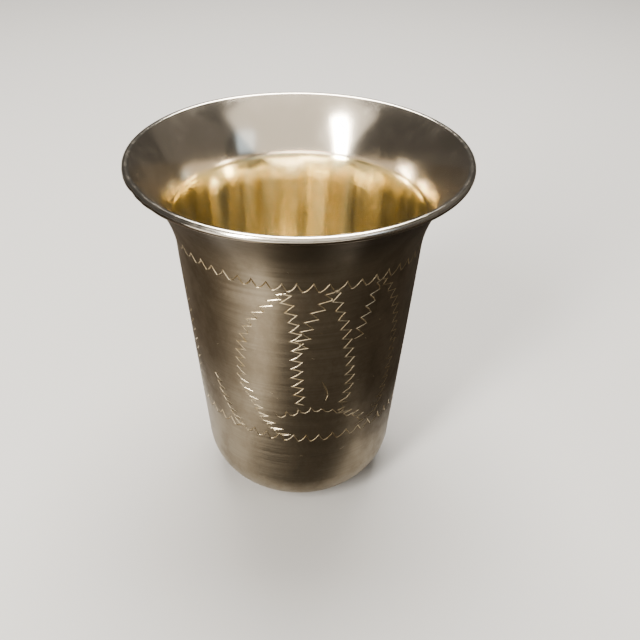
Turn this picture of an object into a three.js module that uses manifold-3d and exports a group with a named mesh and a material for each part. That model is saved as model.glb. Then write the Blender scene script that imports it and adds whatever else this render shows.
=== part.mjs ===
// Kiddush cup: a small beaker spun from one sheet of silver and gilt inside. It has a flared lip with a
// rolled rim, and a border of zigzag cuts: two bands round the wall, and pointed panels between them.
// Millimetres, +Z up. The origin is the middle of the underside, and the front of the cup faces -Y.
import * as THREE from 'three';
import { mergeVertices } from 'three/addons/utils/BufferGeometryUtils.js';
import Module from 'manifold-3d';

const wasm = await Module();
wasm.setup();

// The cup's driving dimensions
const RIM_DIAMETER = 60;
const CUP_HEIGHT = 69.7;
const SHEET = 0.7;
const BEAD_DIAMETER = 1.4;
const CORNER_RADIUS = 10.3;
const FLARE_START = 54;

// The straight wall leans outward. Its line would meet the table at this radius.
const WALL_RADIUS_AT_TABLE = 18.1;
const WALL_LEAN = 0.0754;

// How finely the round forms are divided
const SIDES = 48;
const CORNER_STEPS = 5;
const FLARE_STEPS = 5;
const BEAD_STEPS = 6;

// The engraver's cut: a V in section
const CUT_WIDTH = 0.5;
const CUT_DEPTH = 0.2;

// The two zigzag bands: the middle height of each, the height of its teeth, and their number. Both were
// cut out of level: a band stands lower by its drift at the right side, and higher at the left.
const UPPER_BAND = { height: 56.6, toothHeight: 1.7, teeth: 53, drift: 0.93 };
const LOWER_BAND = { height: 21.8, toothHeight: 1.6, teeth: 49, drift: 0.82 };

// Groups of three pointed panels repeat round the wall. A line of a panel is a smooth curve through points
// of [degrees round from the start of its group, height], and the cut zigzags along it.
const GROUPS = 3;
const FIRST_GROUP = -27.5;
const PANEL_TOOTH_WIDTH = 1.7;
const PANEL_TOOTH_PITCH = 3.6;
const PANEL_LINES = [
  { name: 'first panel, left side and its sweep down to the band',
    through: [[20, 54.3], [12.6, 51.6], [2.8, 44.8], [0.1, 39], [1.2, 34.5], [6.8, 29.3], [16, 24.2]] },
  { name: 'first panel, right side',
    through: [[23.8, 54.3], [27.3, 48], [28.2, 39], [29.2, 31]] },
  { name: 'second panel, left side',
    through: [[42, 54.1], [36.5, 50.2], [32.5, 46]] },
  { name: 'second panel, right side',
    through: [[45.5, 54], [50, 47], [53.8, 38.5], [52.5, 31.5]] },
  { name: 'third panel, left side',
    through: [[65, 53.8], [60.5, 50], [57, 45.5]] },
  { name: 'third panel, right side and its sweep down to the band',
    through: [[70, 53.8], [79, 48], [84, 39], [83.5, 32.5], [75, 24.5]] },
  { name: 'sill below the first two panels, and its sweep down to the band',
    through: [[15, 27.3], [24, 28.6], [37, 29], [48.5, 27.7], [54.4, 26.3], [62, 24.2]] },
  { name: 'sweep down to the band before the first panel',
    through: [[-18, 32.6], [-13.2, 28.6], [-7, 24.4]] },
];

const leanAngle = Math.atan(WALL_LEAN);
const wallNormal = new THREE.Vector2(Math.cos(leanAngle), -Math.sin(leanAngle));
const beadRadius = BEAD_DIAMETER / 2;
const beadCentre = new THREE.Vector2(RIM_DIAMETER / 2 - beadRadius, CUP_HEIGHT - beadRadius);

function wallRadius(height) {
  return WALL_RADIUS_AT_TABLE + WALL_LEAN * height;
}

// The foot corner is an arc that touches the table and the wall.
const cornerCentre = new THREE.Vector2(
  wallRadius(CORNER_RADIUS) - CORNER_RADIUS / Math.cos(leanAngle), CORNER_RADIUS);

// The flare is an arc that leaves the wall smoothly and ends in the middle of the bead, so that the inside
// of the sheet runs smoothly over the top of the bead.
const flareFoot = new THREE.Vector2(wallRadius(FLARE_START), FLARE_START);
const flareChord = beadCentre.clone().sub(flareFoot);
const flareRadius = flareChord.lengthSq() / (2 * flareChord.dot(wallNormal));
const flareCentre = flareFoot.clone().addScaledVector(wallNormal, flareRadius);

// The radius of the outside at a height above the foot corner
function outerRadius(height) {
  if (height <= FLARE_START) {
    return wallRadius(height);
  }
  return flareCentre.x - Math.sqrt(flareRadius ** 2 - (height - flareCentre.y) ** 2);
}

function arc(centre, radius, from, to, steps) {
  const points = [];
  for (let i = 0; i <= steps; i++) {
    const angle = from + (to - from) * i / steps;
    const spoke = new THREE.Vector2(Math.cos(angle), Math.sin(angle));
    points.push(centre.clone().addScaledVector(spoke, radius));
  }
  return points;
}

function angleFrom(centre, point) {
  return point.clone().sub(centre).angle();
}

// Where an arc round the flare's centre first meets the bead
function meetBead(radius) {
  const across = beadCentre.clone().sub(flareCentre);
  const distance = across.length();
  const along = (radius ** 2 - beadRadius ** 2 + distance ** 2) / (2 * distance);
  const aside = Math.sqrt(Math.max(0, radius ** 2 - along ** 2));
  across.normalize();
  const square = new THREE.Vector2(-across.y, across.x);
  return flareCentre.clone().addScaledVector(across, along).addScaledVector(square, aside);
}

// The cup's section, from the middle of the underside, up the outside, round the bead and down the
// inside to the middle of the floor
function cupSection() {
  const down = -Math.PI / 2;
  const wallSide = Math.PI - leanAngle;
  const outerMeet = meetBead(flareRadius);
  const innerMeet = meetBead(flareRadius + SHEET);
  const outerEnd = angleFrom(flareCentre, outerMeet);
  const innerEnd = angleFrom(flareCentre, innerMeet);
  const beadFrom = angleFrom(beadCentre, outerMeet) - 2 * Math.PI;
  const beadTo = angleFrom(beadCentre, innerMeet);
  const innerCorner = CORNER_RADIUS - SHEET;
  const innerFlare = flareRadius + SHEET;
  return [
    new THREE.Vector2(0, 0),
    ...arc(cornerCentre, CORNER_RADIUS, down, -leanAngle, CORNER_STEPS),
    ...arc(flareCentre, flareRadius, wallSide, outerEnd, FLARE_STEPS).slice(0, -1),
    ...arc(beadCentre, beadRadius, beadFrom, beadTo, BEAD_STEPS),
    ...arc(flareCentre, innerFlare, innerEnd, wallSide, FLARE_STEPS).slice(1),
    ...arc(cornerCentre, innerCorner, -leanAngle, down, CORNER_STEPS),
    new THREE.Vector2(0, SHEET),
  ];
}

function solidFromTriangles(positions, triangles) {
  return new wasm.Manifold(new wasm.Mesh({
    numProp: 3,
    vertProperties: Float32Array.from(positions),
    triVerts: Uint32Array.from(triangles),
  }));
}

// A turned form, as one closed solid whose triangles at the axis keep only their three true corners
function turned(section) {
  const lathe = new THREE.LatheGeometry(section, SIDES);
  lathe.rotateX(Math.PI / 2);
  lathe.deleteAttribute('normal');
  lathe.deleteAttribute('uv');
  const welded = mergeVertices(lathe);
  const corners = welded.index.array;
  const triangles = [];
  for (let i = 0; i < corners.length; i += 3) {
    const [a, b, c] = corners.slice(i, i + 3);
    if (a !== b && b !== c && c !== a) {
      triangles.push(a, b, c);
    }
  }
  return solidFromTriangles(welded.attributes.position.array, triangles);
}

// The wall is unrolled for the engraver: x is the way round and y the height, both in millimetres.
const MM_PER_DEGREE = wallRadius((UPPER_BAND.height + LOWER_BAND.height) / 2) * Math.PI / 180;

// A point of the unrolled wall back on the cup, raised off its surface by lift
function onWall(flat, lift) {
  const bearing = flat.x / MM_PER_DEGREE * Math.PI / 180;
  const radius = outerRadius(flat.y) + lift;
  return [radius * Math.sin(bearing), -radius * Math.cos(bearing), flat.y];
}

// The zigzag points of a band that runs right round
function bandZigzag(band) {
  const points = [];
  const turns = 2 * band.teeth;
  for (let i = 0; i < turns; i++) {
    const side = i % 2 === 0 ? 0.5 : -0.5;
    const level = band.height - band.drift * Math.sin(2 * Math.PI * i / turns);
    points.push(new THREE.Vector2(360 * i / turns * MM_PER_DEGREE, level + side * band.toothHeight));
  }
  return points;
}

// The zigzag points along a smooth line through the given points
function lineZigzag(through) {
  const line = new THREE.SplineCurve(
    through.map(([degrees, height]) => new THREE.Vector2(degrees * MM_PER_DEGREE, height)));
  const turns = 2 * Math.round(line.getLength() / PANEL_TOOTH_PITCH);
  const points = [];
  for (let i = 0; i <= turns; i++) {
    const along = i / turns;
    const ahead = line.getTangentAt(along);
    const side = i % 2 === 0 ? 0.5 : -0.5;
    const aside = new THREE.Vector2(-ahead.y, ahead.x).multiplyScalar(side * PANEL_TOOTH_WIDTH);
    points.push(line.getPointAt(along).add(aside));
  }
  return points;
}

// The sideways reach of the cut at a corner of its path, from the directions in and out
function mitre(before, here, after) {
  const into = here.clone().sub(before).normalize();
  const out = after.clone().sub(here).normalize();
  const ahead = into.clone().add(out).normalize();
  const aside = new THREE.Vector2(-ahead.y, ahead.x);
  return aside.multiplyScalar(1 / Math.abs(aside.x * -into.y + aside.y * into.x));
}

// The tool that cuts a V along a path on the unrolled wall: a long wedge that stands out of the wall
function cutter(path, closed) {
  const count = path.length;
  const roundTrip = new THREE.Vector2(closed ? 360 * MM_PER_DEGREE : 0, 0);
  const lift = CUT_DEPTH;
  const reach = CUT_WIDTH / 2 * (1 + lift / CUT_DEPTH);
  const positions = [];
  for (let i = 0; i < count; i++) {
    const here = path[i];
    let before = path[i - 1];
    let after = path[i + 1];
    if (closed) {
      before = before ?? path[count - 1].clone().sub(roundTrip);
      after = after ?? path[0].clone().add(roundTrip);
    }
    before = before ?? here.clone().multiplyScalar(2).sub(after);
    after = after ?? here.clone().multiplyScalar(2).sub(before);
    const aside = mitre(before, here, after).multiplyScalar(reach);
    positions.push(...onWall(here.clone().add(aside), lift));
    positions.push(...onWall(here, -CUT_DEPTH));
    positions.push(...onWall(here.clone().sub(aside), lift));
  }
  const triangles = [];
  const links = closed ? count : count - 1;
  for (let i = 0; i < links; i++) {
    const ring = 3 * i;
    const next = 3 * ((i + 1) % count);
    for (let k = 0; k < 3; k++) {
      const turn = (k + 1) % 3;
      triangles.push(ring + k, next + k, ring + turn);
      triangles.push(ring + turn, next + k, next + turn);
    }
  }
  if (!closed) {
    const last = 3 * (count - 1);
    triangles.push(0, 1, 2);
    triangles.push(last, last + 2, last + 1);
  }
  return solidFromTriangles(positions, triangles);
}

function engraving() {
  let cuts = cutter(bandZigzag(UPPER_BAND), true);
  cuts = cuts.add(cutter(bandZigzag(LOWER_BAND), true));
  for (let group = 0; group < GROUPS; group++) {
    const start = FIRST_GROUP + 360 * group / GROUPS;
    for (const line of PANEL_LINES) {
      const through = line.through.map(([degrees, height]) => [start + degrees, height]);
      cuts = cuts.add(cutter(lineZigzag(through), false));
    }
  }
  return cuts;
}

function meshFromSolid(solid, name, material) {
  const { vertProperties, triVerts } = solid.getMesh();
  const geometry = new THREE.BufferGeometry();
  geometry.setAttribute('position', new THREE.BufferAttribute(vertProperties, 3));
  geometry.setIndex(new THREE.BufferAttribute(triVerts, 1));
  geometry.computeVertexNormals();
  const mesh = new THREE.Mesh(geometry, material);
  mesh.name = name;
  return mesh;
}

const silver = new THREE.MeshStandardMaterial({ color: 0xb9b3a3, roughness: 0.32, metalness: 1 });

const part = new THREE.Group();
part.add(meshFromSolid(turned(cupSection()).subtract(engraving()), 'cup', silver));

export default part;
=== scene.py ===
import math
import random

import bpy
from mathutils import Matrix, Vector
from mathutils.geometry import delaunay_2d_cdt


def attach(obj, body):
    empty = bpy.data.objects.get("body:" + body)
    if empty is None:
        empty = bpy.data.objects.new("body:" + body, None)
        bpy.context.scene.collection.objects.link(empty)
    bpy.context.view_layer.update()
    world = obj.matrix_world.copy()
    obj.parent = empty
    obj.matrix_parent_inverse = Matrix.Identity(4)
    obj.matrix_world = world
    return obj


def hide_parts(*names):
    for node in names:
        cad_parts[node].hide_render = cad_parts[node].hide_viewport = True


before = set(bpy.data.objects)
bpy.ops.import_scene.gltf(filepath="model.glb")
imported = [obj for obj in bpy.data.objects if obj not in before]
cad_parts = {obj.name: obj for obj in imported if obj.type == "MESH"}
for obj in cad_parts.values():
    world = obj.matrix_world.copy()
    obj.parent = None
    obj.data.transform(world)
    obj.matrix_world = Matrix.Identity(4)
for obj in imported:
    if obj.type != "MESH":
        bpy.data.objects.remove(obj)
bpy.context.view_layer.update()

# A millimetre, in metres
MM = 0.001

# The cup's sizes in millimetres, as in the solid
RIM_RADIUS = 30.0
CUP_HEIGHT = 69.7
SHEET = 0.7
BEAD_RADIUS = 0.7
CORNER_RADIUS = 10.3
FLARE_START = 54.0
WALL_RADIUS_AT_TABLE = 18.1
WALL_LEAN = 0.0754

# How finely the surfaces are divided: the sides round the cup, and the steps along each part of its section
SIDES = 240
FLAT_STEPS = 6
CORNER_STEPS = 24
PLAIN_WALL_STEPS = 4
OUTER_LIP_STEPS = 16
BEAD_STEPS = 20
INNER_LIP_STEPS = 110
INNER_WALL_STEPS = 24

# The spacing of points on the engraved wall, and the steps between two given points of a drawn curve
WALL_SPACING = 0.9
CURVE_STEPS = 24

# The engraved part of the wall, between these heights
ENGRAVED_FROM = 14.0
ENGRAVED_TO = 61.0

# The gilding inside stops at a spun crease near the throat
GILT_EDGE = 59.6
CREASE_DEPTH = 0.03
CREASE_HALF_WIDTH = 0.4

# The engraver's V-shaped cut: its half width, how deep it goes for each millimetre of half width, and
# what is left of its width at its ends
CUT_HALF_WIDTH = 0.115
CUT_STEEPNESS = 0.65
TAPER = 0.3

# How far the plain wall's points stay clear of the cuts, the gap left where a cut meets the wall's seam, and
# how close two points are to count as one on the wall's edges and elsewhere on it
CLEAR_OF_CUTS = 0.2
SEAM_GAP = 0.45
HAIR = 1e-3
WELD = 1e-4

# The bands and the groups of panels between them, which stand where the solid has them. A band stands lower
# by its drift at the right side, and higher at the left. The first group starts at a bearing in degrees, and
# the lines of its panels start at a height below the upper band.
UPPER_BAND = {"height": 56.6, "tooth_height": 1.65, "teeth": 53, "drift": 0.93}
LOWER_BAND = {"height": 21.8, "tooth_height": 1.6, "teeth": 49, "drift": 0.82}
GROUPS = 3
FIRST_GROUP = -27.5
PANEL_TOP = 55.2

random.seed(11)


def clamp(value):
    return max(0.0, min(1.0, value))


def put(name, data):
    """Puts a mesh, a lamp or a camera into the scene."""
    thing = bpy.data.objects.new(name, data)
    bpy.context.scene.collection.objects.link(thing)
    return thing


# The turned section

LEAN_ANGLE = math.atan(WALL_LEAN)


def wall_radius(height):
    return WALL_RADIUS_AT_TABLE + WALL_LEAN * height


BEAD_CENTRE = Vector((RIM_RADIUS - BEAD_RADIUS, CUP_HEIGHT - BEAD_RADIUS))


def flare_arc():
    """
    The radius and the centre of the arc that leaves the wall smoothly and ends in the middle of the bead, so
    that the inside of the sheet runs smoothly over the top of the bead.
    """
    foot = Vector((wall_radius(FLARE_START), FLARE_START))
    chord = BEAD_CENTRE - foot
    out = Vector((math.cos(LEAN_ANGLE), -math.sin(LEAN_ANGLE)))
    radius = chord.length_squared / (2 * chord.dot(out))
    return radius, foot + out * radius


CORNER_CENTRE = Vector((wall_radius(CORNER_RADIUS) - CORNER_RADIUS / math.cos(LEAN_ANGLE), CORNER_RADIUS))
FLARE_RADIUS, FLARE_CENTRE = flare_arc()


def outer_place(height):
    """The outside of the wall or flare at a height: its radius, the height, and its facing."""
    if height <= FLARE_START:
        facing = (math.cos(LEAN_ANGLE), -math.sin(LEAN_ANGLE))
        return wall_radius(height), height, facing
    up = height - FLARE_CENTRE.y
    across = math.sqrt(FLARE_RADIUS ** 2 - up ** 2)
    facing = (across / FLARE_RADIUS, -up / FLARE_RADIUS)
    return FLARE_CENTRE.x - across, height, facing


def arc_places(centre, radius, start, end, steps, side=1):
    """Places along an arc. They face away from its centre, or towards it where side is -1."""
    places = []
    for i in range(steps + 1):
        angle = start + (end - start) * i / steps
        spoke = Vector((math.cos(angle), math.sin(angle)))
        point = centre + spoke * radius
        places.append((point.x, point.y, (side * spoke.x, side * spoke.y)))
    return places


def meet_bead(radius):
    """Where an arc round the flare's centre first meets the bead."""
    across = BEAD_CENTRE - FLARE_CENTRE
    distance = across.length
    along = (radius ** 2 - BEAD_RADIUS ** 2 + distance ** 2) / (2 * distance)
    aside = math.sqrt(max(0.0, radius ** 2 - along ** 2))
    across.normalize()
    return FLARE_CENTRE + across * along + Vector((-across.y, across.x)) * aside


def angle_from(centre, point):
    """The direction of a point from a centre, as an angle between nothing and a full turn."""
    return math.atan2(point.y - centre.y, point.x - centre.x) % math.tau


def underside_places():
    """The flat underside, the foot corner, and the plain wall up to the engraving."""
    flat = [(CORNER_CENTRE.x * i / FLAT_STEPS, 0.0, (0, -1)) for i in range(1, FLAT_STEPS)]
    corner = arc_places(CORNER_CENTRE, CORNER_RADIUS, -math.pi / 2, -LEAN_ANGLE, CORNER_STEPS)
    top = corner[-1][1]
    plain = []
    for i in range(1, PLAIN_WALL_STEPS + 1):
        plain.append(outer_place(top + (ENGRAVED_FROM - top) * i / PLAIN_WALL_STEPS))
    return flat + corner + plain


def lip_places():
    """The outside of the flare above the engraving, up to the bead."""
    end = angle_from(FLARE_CENTRE, meet_bead(FLARE_RADIUS))
    start = math.pi - math.asin((ENGRAVED_TO - FLARE_CENTRE.y) / FLARE_RADIUS)
    return arc_places(FLARE_CENTRE, FLARE_RADIUS, start, end, OUTER_LIP_STEPS, -1)


def bead_places():
    """The rolled rim, from the outside over its top to the inside."""
    start = angle_from(BEAD_CENTRE, meet_bead(FLARE_RADIUS)) - math.tau
    end = angle_from(BEAD_CENTRE, meet_bead(FLARE_RADIUS + SHEET))
    return arc_places(BEAD_CENTRE, BEAD_RADIUS, start, end, BEAD_STEPS)


def inside_lip_places():
    """The inside of the flare, from the bead down to where the straight wall begins."""
    radius = FLARE_RADIUS + SHEET
    start = angle_from(FLARE_CENTRE, meet_bead(radius))
    return arc_places(FLARE_CENTRE, radius, start, math.pi - LEAN_ANGLE, INNER_LIP_STEPS)


def inside_wall_places():
    """The inside of the straight wall, the corner, and the floor."""
    top = FLARE_CENTRE.y + (FLARE_RADIUS + SHEET) * math.sin(LEAN_ANGLE)
    radius = CORNER_RADIUS - SHEET
    corner = arc_places(CORNER_CENTRE, radius, -LEAN_ANGLE, -math.pi / 2, CORNER_STEPS, -1)
    bottom = corner[0][1]
    facing = (-math.cos(LEAN_ANGLE), math.sin(LEAN_ANGLE))
    wall = []
    for i in range(1, INNER_WALL_STEPS):
        height = top + (bottom - top) * i / INNER_WALL_STEPS
        wall.append((wall_radius(height) - SHEET / math.cos(LEAN_ANGLE), height, facing))
    floor = [(CORNER_CENTRE.x * (1 - i / FLAT_STEPS), SHEET, (0, 1)) for i in range(1, FLAT_STEPS)]
    return wall + corner + floor


# How the hand-finished cup stands out of true

# Slow waves that grow towards the rim: how many go round, how far they push out, and their start in radians
RIM_WAVES = [
    (2, 0.10, 0.8),
    (3, 0.05, -0.5),
]

# A slight wave over the whole wall: how many go round, how far it pushes out, and its twist with the height
WALL_WAVES = 7
WALL_WAVE_PUSH = 0.015
WALL_WAVE_TWIST = 0.11

# Each dent: bearing in degrees, height, how far it pushes out, its half width round and its half height.
# It ends at so many of those half sizes.
DENT_END = 3
DENTS = [
    (-140, 68.5, 0.35, 13.0, 6.0),
    (-60, 69.0, -0.22, 1.6, 0.9),
    (-54, 69.1, -0.16, 1.1, 0.8),
    (-47, 68.9, -0.13, 1.3, 0.8),
    (-78, 57.0, -0.12, 3.0, 2.5),
    (-112, 55.0, 0.10, 3.5, 3.0),
    (-135, 56.0, -0.10, 3.0, 2.0),
    (150, 55.5, 0.08, 4.0, 2.5),
    (105, 56.5, -0.08, 4.5, 3.0),
    (-20, 36.0, -0.06, 6.0, 9.0),
    (18, 30.0, 0.05, 5.0, 7.0),
    (48, 40.0, -0.06, 6.0, 8.0),
    (160, 30.0, -0.08, 6.0, 8.0),
]

# Upright ripples inside: how many go round, how far they push out, and how much they sway
RIPPLES = [
    (9, 0.090, 0.8),
    (17, 0.080, 0.9),
    (31, 0.034, 0.6),
]
RIPPLE_SWAY_HEIGHT = 9.0

# The ripples grow from nothing at the crease to their full depth so far below it. They begin at this height
# above the table, and are at their full depth so far above it.
RIPPLE_FADE_BELOW_CREASE = 5.0
RIPPLES_FROM = 12.0
RIPPLE_FADE_ABOVE_FLOOR = 8.0


def out_of_true(bearing, height):
    """How far the sheet stands outward of its turned form, in millimetres."""
    rise = (height / CUP_HEIGHT) ** 3
    total = 0.0
    for count, push, start in RIM_WAVES:
        total += push * rise * math.cos(count * bearing + start)
    total += WALL_WAVE_PUSH * math.sin(WALL_WAVES * bearing + WALL_WAVE_TWIST * height)
    for dent_bearing, dent_height, push, half_round, half_height in DENTS:
        turn = (bearing - math.radians(dent_bearing) + math.pi) % math.tau - math.pi
        round_reach = turn * RIM_RADIUS / half_round
        height_reach = (height - dent_height) / half_height
        spread = round_reach ** 2 + height_reach ** 2
        if spread < DENT_END ** 2:
            total += push * math.exp(-spread)
    return total


def inside_marks(bearing, height):
    """How far the spun crease at the edge of the gilding, and the upright ripples below it, push out."""
    crease = CREASE_DEPTH * math.exp(-((height - GILT_EDGE) / CREASE_HALF_WIDTH) ** 2)
    depth = clamp((GILT_EDGE - height) / RIPPLE_FADE_BELOW_CREASE)
    depth *= clamp((height - RIPPLES_FROM) / RIPPLE_FADE_ABOVE_FLOOR)
    ripple = 0.0
    for count, push, sway in RIPPLES:
        ripple += push * math.sin(count * bearing + sway * math.sin(height / RIPPLE_SWAY_HEIGHT + count))
    return crease + depth * ripple


class Sheet:
    """
    Gathers the cup's surface: its points, and faces whose corners each pair a point with its true normal.
    Faces that are marked flat, which are the facets of the cuts, have their own flat normal instead.
    """

    def __init__(self):
        self.points = []
        self.corners = []
        self.faces = []
        self.finishes = []
        self.flat = []

    def corner(self, bearing, place, depth=0.0, inside=False, on=None):
        """
        Adds a corner at a bearing in radians and returns its number. Depth sinks it below the surface.
        On names an older corner whose point it shares, so that only the normal is new.
        """
        radius, height, facing = place

        def stray(turn, rise):
            extra = inside_marks(bearing + turn, height + rise) if inside else 0.0
            return out_of_true(bearing + turn, height + rise) + extra

        # How the sheet's straying changes with the bearing and with the height, from tiny steps either way
        tiny_turn = 0.002
        tiny_rise = 0.05
        by_turn = (stray(tiny_turn, 0) - stray(-tiny_turn, 0)) / (2 * tiny_turn)
        by_rise = (stray(0, tiny_rise) - stray(0, -tiny_rise)) / (2 * tiny_rise)
        full = radius + stray(0, 0)
        spoke = Vector((math.sin(bearing), -math.cos(bearing), 0))
        around = Vector((math.cos(bearing), math.sin(bearing), 0))
        upright = Vector((0, 0, 1))
        rising = -facing[1] + by_rise * facing[0]
        normal = spoke * (full * facing[0]) - around * (by_turn * facing[0]) - upright * (full * rising)
        normal.normalize()
        if on is None:
            self.points.append((spoke * full + upright * height - normal * depth) * MM)
            point = len(self.points) - 1
        else:
            point = self.corners[on][0]
        self.corners.append((point, normal))
        return len(self.corners) - 1

    def ring(self, place, inside=False, on=None):
        """A ring of corners at a place of the section, sharing the points of the ring that on names."""
        older = on or [None] * SIDES
        ring = []
        for i in range(SIDES):
            bearing = math.tau * i / SIDES - math.pi
            ring.append(self.corner(bearing, place, inside=inside, on=older[i]))
        return ring

    def face(self, corners, finish, flat=False):
        self.faces.append(corners)
        self.finishes.append(finish)
        self.flat.append(flat)

    def join_rings(self, first, second, finish):
        for i in range(SIDES):
            after = (i + 1) % SIDES
            self.face((first[i], first[after], second[after], second[i]), finish)

    def close(self, ring, height, facing, finish):
        """Closes a ring with a fan round a point on the axis."""
        self.points.append(Vector((0, 0, height * MM)))
        self.corners.append((len(self.points) - 1, Vector((0, 0, facing))))
        middle = len(self.corners) - 1
        for i in range(SIDES):
            pair = (ring[i], ring[(i + 1) % SIDES])
            if facing < 0:
                pair = pair[::-1]
            self.face((*pair, middle), finish)

    def carry_on(self, ring, places, finish, inside=False):
        """Carries the surface on from a ring through further places, and returns the last ring."""
        for place in places:
            following = self.ring(place, inside)
            self.join_rings(ring, following, finish)
            ring = following
        return ring

    def build(self, name, materials):
        mesh = bpy.data.meshes.new(name)
        mesh.from_pydata(self.points, [], [[self.corners[c][0] for c in face] for face in self.faces])
        for material in materials:
            mesh.materials.append(material)
        mesh.polygons.foreach_set("material_index", self.finishes)
        mesh.polygons.foreach_set("use_smooth", [True] * len(self.faces))
        normals = []
        for face, flat, polygon in zip(self.faces, self.flat, mesh.polygons):
            normals.extend(polygon.normal if flat else self.corners[c][1] for c in face)
        mesh.normals_split_custom_set(normals)
        return put(name, mesh)


# The engraving, drawn on the unrolled wall: x is the way round and y the height, in millimetres

# The unrolled wall is as wide as the wall is round at this height
UNROLLED_AT = 40.0
MM_PER_DEGREE = math.radians(wall_radius(UNROLLED_AT))
HALF_ROUND = 180 * MM_PER_DEGREE


def smooth_line(through, step):
    """Points about a step apart along a smooth curve through points of (degrees, height)."""
    knots = [Vector((degrees * MM_PER_DEGREE, height)) for degrees, height in through]
    knots = [knots[0] * 2 - knots[1]] + knots + [knots[-1] * 2 - knots[-2]]
    fine = []
    for a, b, c, d in zip(knots, knots[1:], knots[2:], knots[3:]):
        for i in range(CURVE_STEPS):
            t = i / CURVE_STEPS
            fine.append(0.5 * (2 * b + (c - a) * t + (2 * a - 5 * b + 4 * c - d) * t * t
                               + (3 * b - a - 3 * c + d) * t * t * t))
    fine.append(knots[-2])
    total = sum((b - a).length for a, b in zip(fine, fine[1:]))
    count = max(2, round(total / step))
    points = []
    walked = 0.0
    for a, b in zip(fine, fine[1:]):
        length = (b - a).length
        while len(points) < count and walked + length >= len(points) * total / count:
            share = (len(points) * total / count - walked) / length
            points.append(a.lerp(b, share))
        walked += length
    points.append(fine[-1])
    return points


def wobble(share):
    """A hand's unevenness: a factor near 1."""
    return 1 + random.uniform(-share, share)


# A tooth of a band: the points along it, the share of its width in which it falls, how hollow its fall and
# its rise are, and how unevenly wide and tall the teeth are
TOOTH_POINTS = 9
TOOTH_FALL = 0.34
FALL_HOLLOW = 1.25
RISE_HOLLOW = 1.9
UNEVEN_WIDTH = 0.14
UNEVEN_HEIGHT = 0.10


def band_line(height, tooth_height, teeth, drift):
    """The zigzag of a band that runs right round: each tooth is a steep fall, then a slow rounded rise."""
    widths = [wobble(UNEVEN_WIDTH) for _ in range(teeth)]
    scale = 2 * HALF_ROUND / sum(widths)
    x = -HALF_ROUND
    path = []
    for width in widths:
        tall = tooth_height * wobble(UNEVEN_HEIGHT)
        for i in range(TOOTH_POINTS):
            share = i / TOOTH_POINTS
            if share < TOOTH_FALL:
                rise = (1 - share / TOOTH_FALL) ** FALL_HOLLOW
            else:
                rise = ((share - TOOTH_FALL) / (1 - TOOTH_FALL)) ** RISE_HOLLOW
            along = x + share * width * scale
            level = height - drift * math.sin(math.pi * along / HALF_ROUND)
            path.append(Vector((along, level - tooth_height / 2 + rise * tall)))
        x += width * scale
    return path


# A level stroke of a panel line: how uneven its reach is, how far its ends stand above and below its middle
# as a share of the pitch, how far its middle is bent up as a share of that, and how uneven the bend is
UNEVEN_REACH = 0.14
STROKE_DROP = 0.12
STROKE_BEND = 0.1
UNEVEN_BEND = 0.9

# The place that the slanting stroke back passes on its way: how far aside it is, as a share of half the
# reach, and how far down, as a share of the pitch
RETURN_ASIDE = 0.1
RETURN_DOWN = 0.55


def stroke_line(through, pitch, reach, lean):
    """
    A panel line as the engraver rocks down it: a level stroke to one side, then a slanting stroke back.
    Lean is 1 where the level strokes run to the right and -1 where they run to the left.
    """
    path = []
    for middle in smooth_line(through, pitch):
        half = reach * wobble(UNEVEN_REACH) / 2
        drop = pitch * STROKE_DROP
        path.append(middle + Vector((-lean * half, drop)))
        path.append(middle + Vector((0, drop * STROKE_BEND * wobble(UNEVEN_BEND))))
        path.append(middle + Vector((lean * half, -drop)))
        path.append(middle + Vector((lean * half * RETURN_ASIDE, -pitch * RETURN_DOWN)))
    path.pop()
    return path


# A scallop of a sill: its points, as shares of the pitch along and of its height up, and how uneven it is
SCALLOP = [(0, 0.5), (0.28, -0.35), (0.55, -0.5), (0.85, 0)]
UNEVEN_SCALLOP = 0.2


def sill_line(through, pitch, scallop_height):
    """A level line of shallow scallops."""
    path = []
    for start in smooth_line(through, pitch):
        tall = scallop_height * wobble(UNEVEN_SCALLOP)
        for along, up in SCALLOP:
            path.append(start + Vector((pitch * along, tall * up)))
    unfinished = len(SCALLOP) - 1
    return path[:-unfinished]


# Each panel line: its way down the wall through points of (degrees from the start of its group, height), the
# pitch and reach of its strokes, and their lean
PANEL_LINES = [
    ([(21.5, PANEL_TOP), (16.2, 53.2), (9.3, 50.1), (4.5, 46.5), (1.4, 42.6), (0, 37.6), (0.4, 34.4),
      (5.1, 31.0), (10.9, 26.4), (17.5, 23.9), (22.0, 22.4)], 2.0, 1.7, -1),
    ([(22.8, PANEL_TOP), (24.3, 52.6), (26.2, 50.0), (27.8, 45.5), (27.8, 41), (28.2, 35.5), (29.6, 30.6)],
     2.1, 1.9, 1),
    ([(43.0, PANEL_TOP), (38.5, 52.6), (34.6, 50), (31.2, 46.4), (29.4, 43.6)], 2.15, 2.2, -1),
    ([(44.2, PANEL_TOP), (46.5, 51.4), (49.4, 48.2), (51.5, 44.2), (53.6, 39.6), (54.4, 34.0), (52.0, 29.8)],
     2.2, 1.7, 1),
    ([(65.8, PANEL_TOP), (63.7, 53.6), (60.9, 50.2), (58.2, 47.2), (57.2, 44.6)], 2.1, 1.8, -1),
    ([(67.4, PANEL_TOP), (72.5, 53.0), (78.2, 48.6), (81.2, 44.0), (82.2, 39.0), (81.6, 33.0), (79.0, 28.0),
      (75.0, 24.8), (71.0, 23.0)], 2.15, 1.8, 1),
    ([(51.5, 28.2), (54.5, 27.0), (59.5, 26.1), (63.5, 24.8), (64.0, 22.6)], 1.9, 1.6, -1),
    ([(-17.2, 32.6), (-14.2, 29.0), (-9.6, 25.9), (-3.0, 22.2)], 1.8, 1.5, -1),
]

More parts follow.
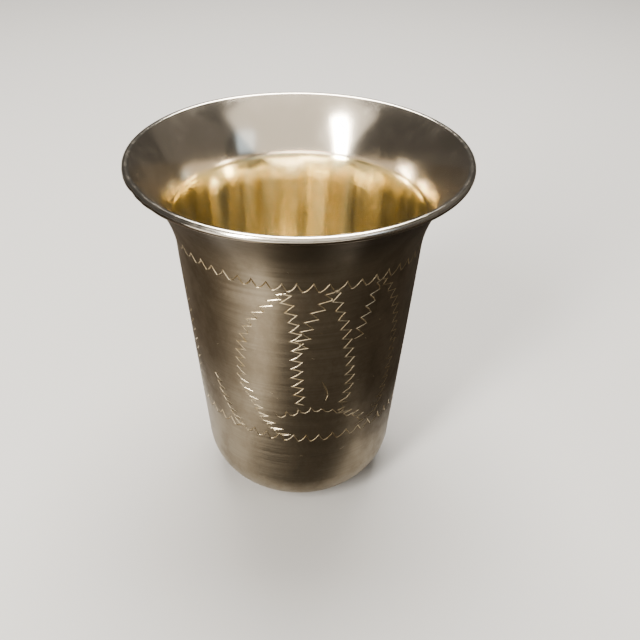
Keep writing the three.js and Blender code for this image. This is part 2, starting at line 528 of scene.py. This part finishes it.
# The sill under the first two panels: its way, pitch and height, and its cut as a share of the usual width
SILL = [(16.5, 27.6), (23, 28.3), (30.5, 29.0), (36.8, 29.1), (41.6, 28.5), (48.5, 27.7), (51.5, 29.0)]
SILL_PITCH = 2.4
SILL_HEIGHT = 1.1
SILL_CUT = 0.9

# Small dings and scratches on the front: paths through points of (degrees, height), and their half width
NICKS = [
    ([(12.8, 35.8), (14.2, 34.6), (15.5, 33.3), (15.7, 32.2), (14.9, 31.1)], 0.15),
    ([(-13.0, 33.0), (-11.3, 32.7)], 0.13),
    ([(-9.6, 31.9), (-8.6, 31.5)], 0.12),
    ([(-41.6, 40.2), (-40.2, 40.6)], 0.14),
    ([(7.4, 41.6), (8.6, 41.3)], 0.16),
    ([(10.8, 47.1), (11.9, 46.9)], 0.12),
    ([(33.2, 43.8), (34.4, 43.5)], 0.14),
    ([(31.2, 34.3), (33.0, 34.2)], 0.12),
    ([(-3.0, 60.2), (-2.2, 59.9)], 0.12),
    ([(2.4, 16.9), (3.6, 16.8)], 0.14),
    ([(25.4, 17.0), (28.0, 17.4)], 0.12),
    ([(51.4, 40.5), (52.5, 40.7)], 0.14),
    ([(40.8, 46.7), (41.7, 46.4)], 0.12),
    ([(42.2, 33.3), (43.1, 33.0)], 0.12),
    ([(44.0, 25.6), (45.0, 25.3)], 0.13),
    ([(-51.3, 28.2), (-50.1, 28.5)], 0.13),
]


def trimmed_at_seam(path):
    """The parts of a path, moved onto the unrolled wall, with a gap where the path crosses its ends."""
    parts = []
    part = []
    turns = None
    for point in path:
        here = math.floor((point.x + HALF_ROUND) / (2 * HALF_ROUND))
        moved = point - Vector((2 * HALF_ROUND * here, 0))
        clear = HALF_ROUND - abs(moved.x) > SEAM_GAP
        if part and (here != turns or not clear):
            parts.append(part)
            part = []
        turns = here
        if clear:
            part.append(moved)
    parts.append(part)
    return [part for part in parts if len(part) > 1]


class Cut:
    """
    One V-shaped cut: its path on the unrolled wall, and its half width at each point of the path. The limits
    are for its corners: how nearly the path may turn back on itself, and how sharp a mitre may be.
    """

    UNEVEN = 0.12
    TURN_LIMIT = 0.1
    MITRE_LIMIT = 0.45

    def __init__(self, path, half_width):
        self.path = path
        self.widths = [half_width * wobble(self.UNEVEN) for _ in path]
        self.widths[0] *= TAPER
        self.widths[-1] *= TAPER

    def edges(self):
        """The two edges of the cut, mitred at its corners."""
        last = len(self.path) - 1
        left = []
        right = []
        for i, (here, width) in enumerate(zip(self.path, self.widths)):
            into = here - self.path[i - 1] if i else self.path[1] - here
            out = self.path[i + 1] - here if i < last else into
            into = into.normalized()
            ahead = into + out.normalized()
            if ahead.length < self.TURN_LIMIT:
                ahead = Vector((into.y, -into.x))
            ahead.normalize()
            aside = Vector((-ahead.y, ahead.x))
            square = abs(ahead.dot(into))
            reach = width / max(square, self.MITRE_LIMIT)
            left.append(here + aside * reach)
            right.append(here - aside * reach)
        return left, right


def engraved_cuts():
    """All the cuts: the two bands, each group's panel lines and sill, and the nicks."""
    drawn = [
        (band_line(**UPPER_BAND), CUT_HALF_WIDTH),
        (band_line(**LOWER_BAND), CUT_HALF_WIDTH),
    ]
    for group in range(GROUPS):
        start = FIRST_GROUP + 360 * group / GROUPS
        for through, pitch, reach, lean in PANEL_LINES:
            placed = [(start + degrees, height) for degrees, height in through]
            drawn.append((stroke_line(placed, pitch, reach, lean), CUT_HALF_WIDTH))
        placed = [(start + degrees, height) for degrees, height in SILL]
        drawn.append((sill_line(placed, SILL_PITCH, SILL_HEIGHT), CUT_HALF_WIDTH * SILL_CUT))
    for through, half_width in NICKS:
        nick = [Vector((degrees * MM_PER_DEGREE, height)) for degrees, height in through]
        drawn.append((nick, half_width))
    return [Cut(part, half_width) for path, half_width in drawn for part in trimmed_at_seam(path)]


class CutMap:
    """
    Tells how deep the wall is cut at any place. It sorts the cuts into square cells, each with the cuts that
    come within reach of it. A place with no cut in its cell counts as far from all of them.
    """

    CELL = 1.0
    REACH = 0.4
    FAR = 9.0

    def __init__(self, cuts):
        self.cells = {}
        for cut in cuts:
            for i in range(len(cut.path) - 1):
                self.note(cut.path[i], cut.path[i + 1], cut.widths[i], cut.widths[i + 1])

    def cell(self, length):
        return math.floor(length / self.CELL)

    def note(self, *segment):
        """Notes a straight part of a cut, from one point to another, in each cell within reach."""
        xs = [point.x for point in segment[:2]]
        ys = [point.y for point in segment[:2]]
        for column in range(self.cell(min(xs) - self.REACH), self.cell(max(xs) + self.REACH) + 1):
            for row in range(self.cell(min(ys) - self.REACH), self.cell(max(ys) + self.REACH) + 1):
                self.cells.setdefault((column, row), []).append(segment)

    def nearest(self, point):
        """How far outside the nearest cut's edge a place is, and how deep the cuts are there."""
        clear = self.FAR
        depth = 0.0
        cell = (self.cell(point.x), self.cell(point.y))
        for start, end, start_width, end_width in self.cells.get(cell, ()):
            along = end - start
            share = clamp((point - start).dot(along) / along.length_squared)
            distance = (point - start - along * share).length
            width = start_width + (end_width - start_width) * share
            clear = min(clear, distance - width)
            depth = max(depth, (width - distance) * CUT_STEEPNESS)
        return clear, depth


def engrave(sheet, lower, upper, plain_finish, cut_finish):
    """Fills the wall between two rings with triangles that hold every cut as a real V."""
    cuts = engraved_cuts()
    cut_map = CutMap(cuts)
    points = []
    edges = []

    def add_line(line):
        first = len(points)
        points.extend(line)
        edges.extend((first + i, first + i + 1) for i in range(len(line) - 1))

    rows = round((ENGRAVED_TO - ENGRAVED_FROM) / WALL_SPACING)
    heights = [ENGRAVED_FROM + (ENGRAVED_TO - ENGRAVED_FROM) * i / rows for i in range(rows + 1)]
    side_step = 2 * HALF_ROUND / SIDES
    for y in (heights[0], heights[-1]):
        add_line([Vector((i * side_step - HALF_ROUND, y)) for i in range(SIDES + 1)])
    for x in (-HALF_ROUND, HALF_ROUND):
        add_line([Vector((x, y)) for y in heights])

    for cut in cuts:
        left, right = cut.edges()
        add_line(left)
        add_line(cut.path)
        add_line(right)

    # The plain wall's own points, with every other row shifted by half a column
    columns = round(2 * HALF_ROUND / WALL_SPACING)
    for row, y in enumerate(heights[1:-1]):
        shift = 0.25 if row % 2 else 0.75
        for i in range(columns):
            point = Vector((((i + shift) / columns * 2 - 1) * HALF_ROUND, y))
            if cut_map.nearest(point)[0] > CLEAR_OF_CUTS:
                points.append(point)

    all_triangles = 0
    flat_points, _, triangles, *_ = delaunay_2d_cdt(points, edges, [], all_triangles, WELD, False)

    # Points on the wall's ends become the rings below and above it, and the two sides of the seam are joined
    seam = {}
    numbers = []
    for point in flat_points:
        column = round((point.x + HALF_ROUND) / side_step) % SIDES
        if point.y < heights[0] + HAIR:
            numbers.append(lower[column])
        elif point.y > heights[-1] - HAIR:
            numbers.append(upper[column])
        else:
            at_seam = HALF_ROUND - abs(point.x) < HAIR
            row = round(point.y / HAIR)
            if at_seam and row in seam:
                numbers.append(seam[row])
                continue
            bearing = math.radians(point.x / MM_PER_DEGREE)
            numbers.append(sheet.corner(bearing, outer_place(point.y), cut_map.nearest(point)[1]))
            if at_seam:
                seam[row] = numbers[-1]

    for triangle in triangles:
        middle = (flat_points[triangle[0]] + flat_points[triangle[1]] + flat_points[triangle[2]]) / 3
        is_cut = cut_map.nearest(middle)[0] < 0
        sheet.face(tuple(numbers[i] for i in triangle), cut_finish if is_cut else plain_finish, is_cut)


# Finishes

class Value:
    """A shader value. Arithmetic on it adds Math nodes to its finish."""

    def __init__(self, finish, socket):
        self.finish = finish
        self.socket = socket

    def math(self, operation, first, second):
        return self.finish.node("ShaderNodeMath", {"operation": operation}, {0: first, 1: second})

    def __add__(self, other):
        return self.math("ADD", self, other)

    def __sub__(self, other):
        return self.math("SUBTRACT", self, other)

    def __rsub__(self, other):
        return self.math("SUBTRACT", other, self)

    def __mul__(self, other):
        return self.math("MULTIPLY", self, other)

    __radd__ = __add__
    __rmul__ = __mul__


class Finish:
    """A surface finish: a material, its shader, and the nodes that vary it."""

    def __init__(self, name, **steady):
        self.material = bpy.data.materials.new(name)
        self.material.use_nodes = True
        self.tree = self.material.node_tree
        self.shader = self.tree.nodes["Principled BSDF"]
        for socket, value in steady.items():
            self.shader.inputs[socket.replace("_", " ").title()].default_value = value

    def node(self, kind, settings, inputs, output=0):
        """Adds a node. Its settings come first, and each input is a number, a colour or a Value."""
        made = self.tree.nodes.new(kind)
        for setting, value in settings.items():
            setattr(made, setting, value)
        for socket, value in inputs.items():
            if isinstance(value, Value):
                self.tree.links.new(value.socket, made.inputs[socket])
            else:
                made.inputs[socket].default_value = value
        return Value(self, made.outputs[output])

    def feed(self, socket, value):
        self.tree.links.new(value.socket, self.shader.inputs[socket])

    def place(self):
        """The place on the cup, in metres."""
        return self.node("ShaderNodeTexCoord", {}, {}, "Object")

    def height(self):
        """The height above the table, in millimetres."""
        return self.node("ShaderNodeSeparateXYZ", {}, {0: self.place()}, "Z") * (1 / MM)

    def cloud(self, per_metre, detail, roughness=0.5):
        """Noise from 0 to 1 with so many features per metre along x, y and z."""
        operation = {"operation": "MULTIPLY"}
        stretched = self.node("ShaderNodeVectorMath", operation, {0: self.place(), 1: per_metre})
        inputs = {"Vector": stretched, "Scale": 1.0, "Detail": detail, "Roughness": roughness}
        return self.node("ShaderNodeTexNoise", {}, inputs)

    def ease(self, value, start, end):
        """Rises smoothly from 0 at start to 1 at end."""
        return self.node("ShaderNodeMapRange", {"interpolation_type": "SMOOTHSTEP"},
                         {"Value": value, "From Min": start, "From Max": end})

    def blend(self, share, first, second):
        """A colour between two colours."""
        return self.node("ShaderNodeMix", {"data_type": "RGBA"}, {0: share, 6: first, 7: second}, 2)

    def relief(self, height, distance):
        """Bumps of a height from 0 to 1, with a distance in millimetres."""
        inputs = {"Height": height, "Distance": distance * MM, "Strength": 1.0}
        self.feed("Normal", self.node("ShaderNodeBump", {}, inputs))


# Features of noise in a metre, along x, y and z. Noise stretched level draws the lathe's lines round the cup,
# and noise stretched upright draws streaks down it.
FINE_LINES = (110, 110, 9000)
BROAD_LINES = (60, 60, 2600)
TARNISH_PATCHES = (170, 170, 130)
DIRT_SPOTS = (260, 260, 260)
WORN_SPOTS = (500, 500, 500)
RAGGED_EDGE = (160, 160, 90)
HAZE = (120, 120, 60)
RUBBED_STREAKS = (260, 260, 14)
SMUDGES = (180, 180, 110)

# The metal's colours
# The satin's colours are much darker than clean silver: partly patina, partly painted shade standing in for
# the dark surroundings that the wall reflects
DARK_SATIN = (0.32, 0.272, 0.203, 1)
PALE_SATIN = (0.37, 0.318, 0.242, 1)
TARNISH = (0.265, 0.22, 0.16, 1)
PAINTED_SHADE_UNDER_LIP = (0.15, 0.125, 0.092, 1)
BRIGHT_CUT = (0.74, 0.64, 0.46, 1)
DIRTY_CUT = (0.40, 0.31, 0.18, 1)
BRIGHT_RIM = (0.88, 0.82, 0.72, 1)
WORN_RIM = (0.72, 0.65, 0.54, 1)
PAINTED_SHADE_UNDER_RIM = (0.26, 0.22, 0.17, 1)
BRIGHT_LIP = (0.88, 0.80, 0.68, 1)
HAZY_LIP = (0.80, 0.715, 0.59, 1)
FULL_GOLD = (0.985, 0.865, 0.595, 1)
RUBBED_GOLD = (0.97, 0.93, 0.80, 1)
GOLD_NEAR_EDGE = (0.96, 0.82, 0.49, 1)

# Heights between which a colour gives way to another: the satin to its painted shade under the lip, and,
# around a middle height, the rim to its painted shade on its underside and the silver to the gilding. The
# gilding's tone changes from a height below its edge to one just below it, deepening as painted shade that
# tempers the highlight falling there, and its edge is ragged by so much.
PAINTED_LIP_SHADE_FROM = 57.5
PAINTED_LIP_SHADE_TO = 66.0
RIM_BLUR = 0.15
GILT_BLUR = 0.25
GILT_RAGGED = 0.6
EDGE_TONE_FROM = GILT_EDGE - 6.0
EDGE_TONE_TO = GILT_EDGE - 0.5

# A quarter turn, so that metal with lines round it spreads its highlights upright
LINES_ROUND = 0.25

# How deep the lathe's lines are
LINE_RELIEF = 0.006


def satin_silver():
    """The brushed wall: fine lines round it, soft patches of tarnish, and painted shade under the lip."""
    finish = Finish("satin silver", metallic=1.0, anisotropic=0.7, anisotropic_rotation=LINES_ROUND)
    lines = finish.cloud(FINE_LINES, detail=2.0)
    broad = finish.cloud(BROAD_LINES, detail=3.0)
    patches = finish.cloud(TARNISH_PATCHES, detail=6.0, roughness=0.7)
    tarnish = finish.ease(patches, start=0.38, end=0.68)
    streaks = finish.ease(broad, start=0.3, end=0.7)
    clean = finish.blend(streaks, DARK_SATIN, PALE_SATIN)
    colour = finish.blend(tarnish, clean, TARNISH)
    # Painted shade: the wall darkens from below the upper band up to the bead, standing in for dark
    # reflections under the flaring lip
    painted_shade_under_lip = finish.ease(finish.height(), PAINTED_LIP_SHADE_FROM, PAINTED_LIP_SHADE_TO)
    finish.feed("Base Color", finish.blend(painted_shade_under_lip, colour, PAINTED_SHADE_UNDER_LIP))
    finish.feed("Roughness", 0.30 + 0.08 * tarnish + 0.06 * streaks)
    finish.relief(lines + 0.25 * broad, LINE_RELIEF)
    return finish.material


def cut_silver():
    """The bright facets of the engraver's cuts, with a little dirt in places."""
    finish = Finish("bright cut silver", metallic=1.0)
    dirt = finish.ease(finish.cloud(DIRT_SPOTS, detail=3.0), start=0.45, end=0.7)
    finish.feed("Base Color", finish.blend(dirt, BRIGHT_CUT, DIRTY_CUT))
    finish.feed("Roughness", 0.30 + 0.12 * dirt)
    return finish.material


def polished_silver():
    """The rolled rim: bright and a little worn, with painted shade on its underside."""
    finish = Finish("polished silver", metallic=1.0)
    wear = finish.ease(finish.cloud(WORN_SPOTS, detail=4.0), start=0.4, end=0.8)
    bright = finish.blend(wear, BRIGHT_RIM, WORN_RIM)
    middle = CUP_HEIGHT - BEAD_RADIUS
    # Painted shade: the rim's lower half is darker, standing in for the dark reflections under the rolled rim
    painted_shade_under_rim = finish.ease(finish.height(), middle + RIM_BLUR, middle - RIM_BLUR)
    finish.feed("Base Color", finish.blend(painted_shade_under_rim, bright, PAINTED_SHADE_UNDER_RIM))
    finish.feed("Roughness", 0.16 + 0.12 * wear)
    return finish.material


def gilt_inside():
    """Polished silver above the crease, and below it gilding that is rubbed in upright streaks."""
    finish = Finish("gilt inside", metallic=1.0, anisotropic=0.6, anisotropic_rotation=LINES_ROUND)
    ragged = finish.cloud(RAGGED_EDGE, detail=3.0)
    level = finish.height() + GILT_RAGGED * (ragged - 0.5)
    gilt = finish.ease(level, GILT_EDGE + GILT_BLUR, GILT_EDGE - GILT_BLUR)
    silver = finish.blend(finish.cloud(HAZE, detail=4.0), BRIGHT_LIP, HAZY_LIP)
    rubbed = finish.ease(finish.cloud(RUBBED_STREAKS, detail=3.0), start=0.38, end=0.66)
    worn_gold = finish.blend(rubbed, FULL_GOLD, RUBBED_GOLD)
    # Painted shade: the gold deepens just below its edge to temper the bright highlight that falls there
    near_edge = finish.ease(finish.height(), EDGE_TONE_FROM, EDGE_TONE_TO)
    gold = finish.blend(near_edge, worn_gold, GOLD_NEAR_EDGE)
    finish.feed("Base Color", finish.blend(gilt, silver, gold))
    smudge = finish.ease(finish.cloud(SMUDGES, detail=5.0, roughness=0.65), start=0.45, end=0.75)
    finish.feed("Roughness", 0.17 + 0.07 * smudge)
    return finish.material


# The cup

# The places of its finishes in the list that the cup is built with
SATIN, CUT, POLISHED, INSIDE = range(4)


def make_cup():
    """The cup, from the underside up its outside, over the rim and down the inside to the floor."""
    sheet = Sheet()
    underside = underside_places()
    ring = sheet.ring(underside[0])
    sheet.close(ring, 0.0, -1, SATIN)
    lower = sheet.carry_on(ring, underside[1:], SATIN)
    lip = lip_places()
    upper = sheet.ring(lip[0])
    engrave(sheet, lower, upper, SATIN, CUT)
    under_bead = sheet.carry_on(upper, lip[1:], SATIN)
    bead = bead_places()
    ring = sheet.ring(bead[0], on=under_bead)
    over_bead = sheet.carry_on(ring, bead[1:], POLISHED)
    inner_lip = inside_lip_places()
    ring = sheet.ring(inner_lip[0], on=over_bead)
    ring = sheet.carry_on(ring, inner_lip[1:], INSIDE, inside=True)
    ring = sheet.carry_on(ring, inside_wall_places(), INSIDE, inside=True)
    sheet.close(ring, SHEET, 1, INSIDE)
    return sheet.build("silver_cup", [satin_silver(), cut_silver(), polished_silver(), gilt_inside()])


# The studio. Sizes and places are in millimetres, and a place round the cup is given in degrees to the right
# of straight in front and degrees up.

# The height on the cup's axis that the lamps point at
CUP_MIDDLE = 40.0

FLOOR_WIDTH = 4000
FLOOR_COLOUR = (0.60, 0.59, 0.57, 1)

# Dark flags, which stand beside the cup or lie around it: the middle of each, the way it faces, its width,
# its height and its shade
UP = Vector((0, 0, 1))
TO_THE_LEFT = Vector((-1, 0, 0))
TO_THE_RIGHT = Vector((1, 0, 0))
FLAGS = [
    ("flag_on_the_front_floor", (79, -108, 1), UP, 202, 173, 0.05),
    ("flag_on_the_right", (110, 0, 31), TO_THE_LEFT, 300, 60, 0.05),
    ("flag_on_the_left", (-110, 20, 31), TO_THE_RIGHT, 160, 60, 0.05),
    ("flag_on_the_right_floor", (105, 40, 1), UP, 150, 138, 0.05),
    ("flag_on_the_left_floor", (-115, 10, 1), UP, 150, 140, 0.12),
]

# A flag's warm tint: its red, green and blue as shares of its shade
FLAG_TINT = (1.0, 0.86, 0.72)

# Soft boxes: degrees to the right, degrees up, distance, width, height, power and colour
SOFT_BOXES = [
    ("key light", -36, 32, 620, 110, 440, 4.8, (1.0, 0.97, 0.92)),
    ("wide light behind the camera", 0, 46, 700, 1300, 900, 2.9, (1.0, 0.94, 0.86)),
    ("cool light", 52, 30, 640, 170, 240, 0.12, (0.65, 0.82, 1.0)),
    ("fill from the right", 105, 30, 800, 900, 500, 0.10, (1.0, 0.92, 0.82)),
    ("top light", 180, 70, 560, 420, 420, 5.7, (1.0, 0.97, 0.93)),
]

# The even light from all round
ROOM_COLOUR = (1.0, 0.95, 0.9, 1)
ROOM_STRENGTH = 0.08


def card(name, width, height, colour):
    """A flat dull rectangle, facing +Z."""
    half_width = width / 2 * MM
    half_height = height / 2 * MM
    mesh = bpy.data.meshes.new(name)
    corners = [(-half_width, -half_height, 0), (half_width, -half_height, 0),
               (half_width, half_height, 0), (-half_width, half_height, 0)]
    mesh.from_pydata(corners, [], [(0, 1, 2, 3)])
    mesh.materials.append(Finish(name, base_color=colour, roughness=1.0).material)
    thing = put(name, mesh)
    return thing


def aim(thing, place, way):
    """Stands a thing at a place, with its -Z, which is where a lamp shines, turned a given way."""
    turn = (-way).to_track_quat("Z", "Y").to_matrix().to_4x4()
    thing.matrix_world = Matrix.Translation(Vector(place) * MM) @ turn


def soft_box(name, azimuth, elevation, distance, width, height, power, colour):
    """A rectangular lamp that stands off from the cup and shines at its middle."""
    lamp = bpy.data.lights.new(name, "AREA")
    lamp.shape = "RECTANGLE"
    lamp.size = width * MM
    lamp.size_y = height * MM
    lamp.energy = power
    lamp.color = colour
    thing = put(name, lamp)
    azimuth = math.radians(azimuth)
    elevation = math.radians(elevation)
    level = math.cos(elevation) * distance
    out = Vector((math.sin(azimuth) * level, -math.cos(azimuth) * level, math.sin(elevation) * distance))
    aim(thing, Vector((0, 0, CUP_MIDDLE)) + out, -out)


def dark_flag(name, place, way, width, height, shade):
    """A dark card that only the cup's reflections see."""
    red, green, blue = [part * shade for part in FLAG_TINT]
    flag = card(name, width, height, (red, green, blue, 1))
    flag.visible_camera = False
    flag.visible_shadow = False
    flag.visible_diffuse = False
    aim(flag, place, way)


def make_studio():
    card("pale_floor", FLOOR_WIDTH, FLOOR_WIDTH, FLOOR_COLOUR)
    for flag in FLAGS:
        dark_flag(*flag)
    for box in SOFT_BOXES:
        soft_box(*box)
    bpy.context.scene.view_settings.look = "AgX - Medium High Contrast"
    world = bpy.data.worlds.new("soft room light")
    world.use_nodes = True
    background = world.node_tree.nodes["Background"]
    background.inputs["Color"].default_value = ROOM_COLOUR
    background.inputs["Strength"].default_value = ROOM_STRENGTH
    bpy.context.scene.world = world


# The camera looks down at the cup at the photograph's angle. Lengths are in millimetres, and angles in
# degrees.
VIEW_TARGET = Vector((4.0, 0.0, 34.66))
VIEW_DISTANCE = 156.6
VIEW_PITCH = 35.26
VIEW_ROLL = 1.19
SENSOR_WIDTH = 36
LENS_LENGTH = 45
NEAREST_SEEN = 5


def place_camera():
    lens = bpy.data.cameras.new("camera")
    lens.sensor_width = SENSOR_WIDTH
    lens.lens = LENS_LENGTH
    lens.clip_start = NEAREST_SEEN * MM
    camera = put("camera", lens)
    pitch = math.radians(VIEW_PITCH)
    ahead = Vector((0, math.cos(pitch), -math.sin(pitch)))
    eye = (VIEW_TARGET - ahead * VIEW_DISTANCE) * MM
    tilt = Matrix.Rotation(math.pi / 2 - pitch, 4, "X")
    camera.matrix_world = Matrix.Translation(eye) @ tilt @ Matrix.Rotation(math.radians(VIEW_ROLL), 4, "Z")
    bpy.context.scene.camera = camera


cup = make_cup()
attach(cup, "root")
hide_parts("cup")
make_studio()
place_camera()
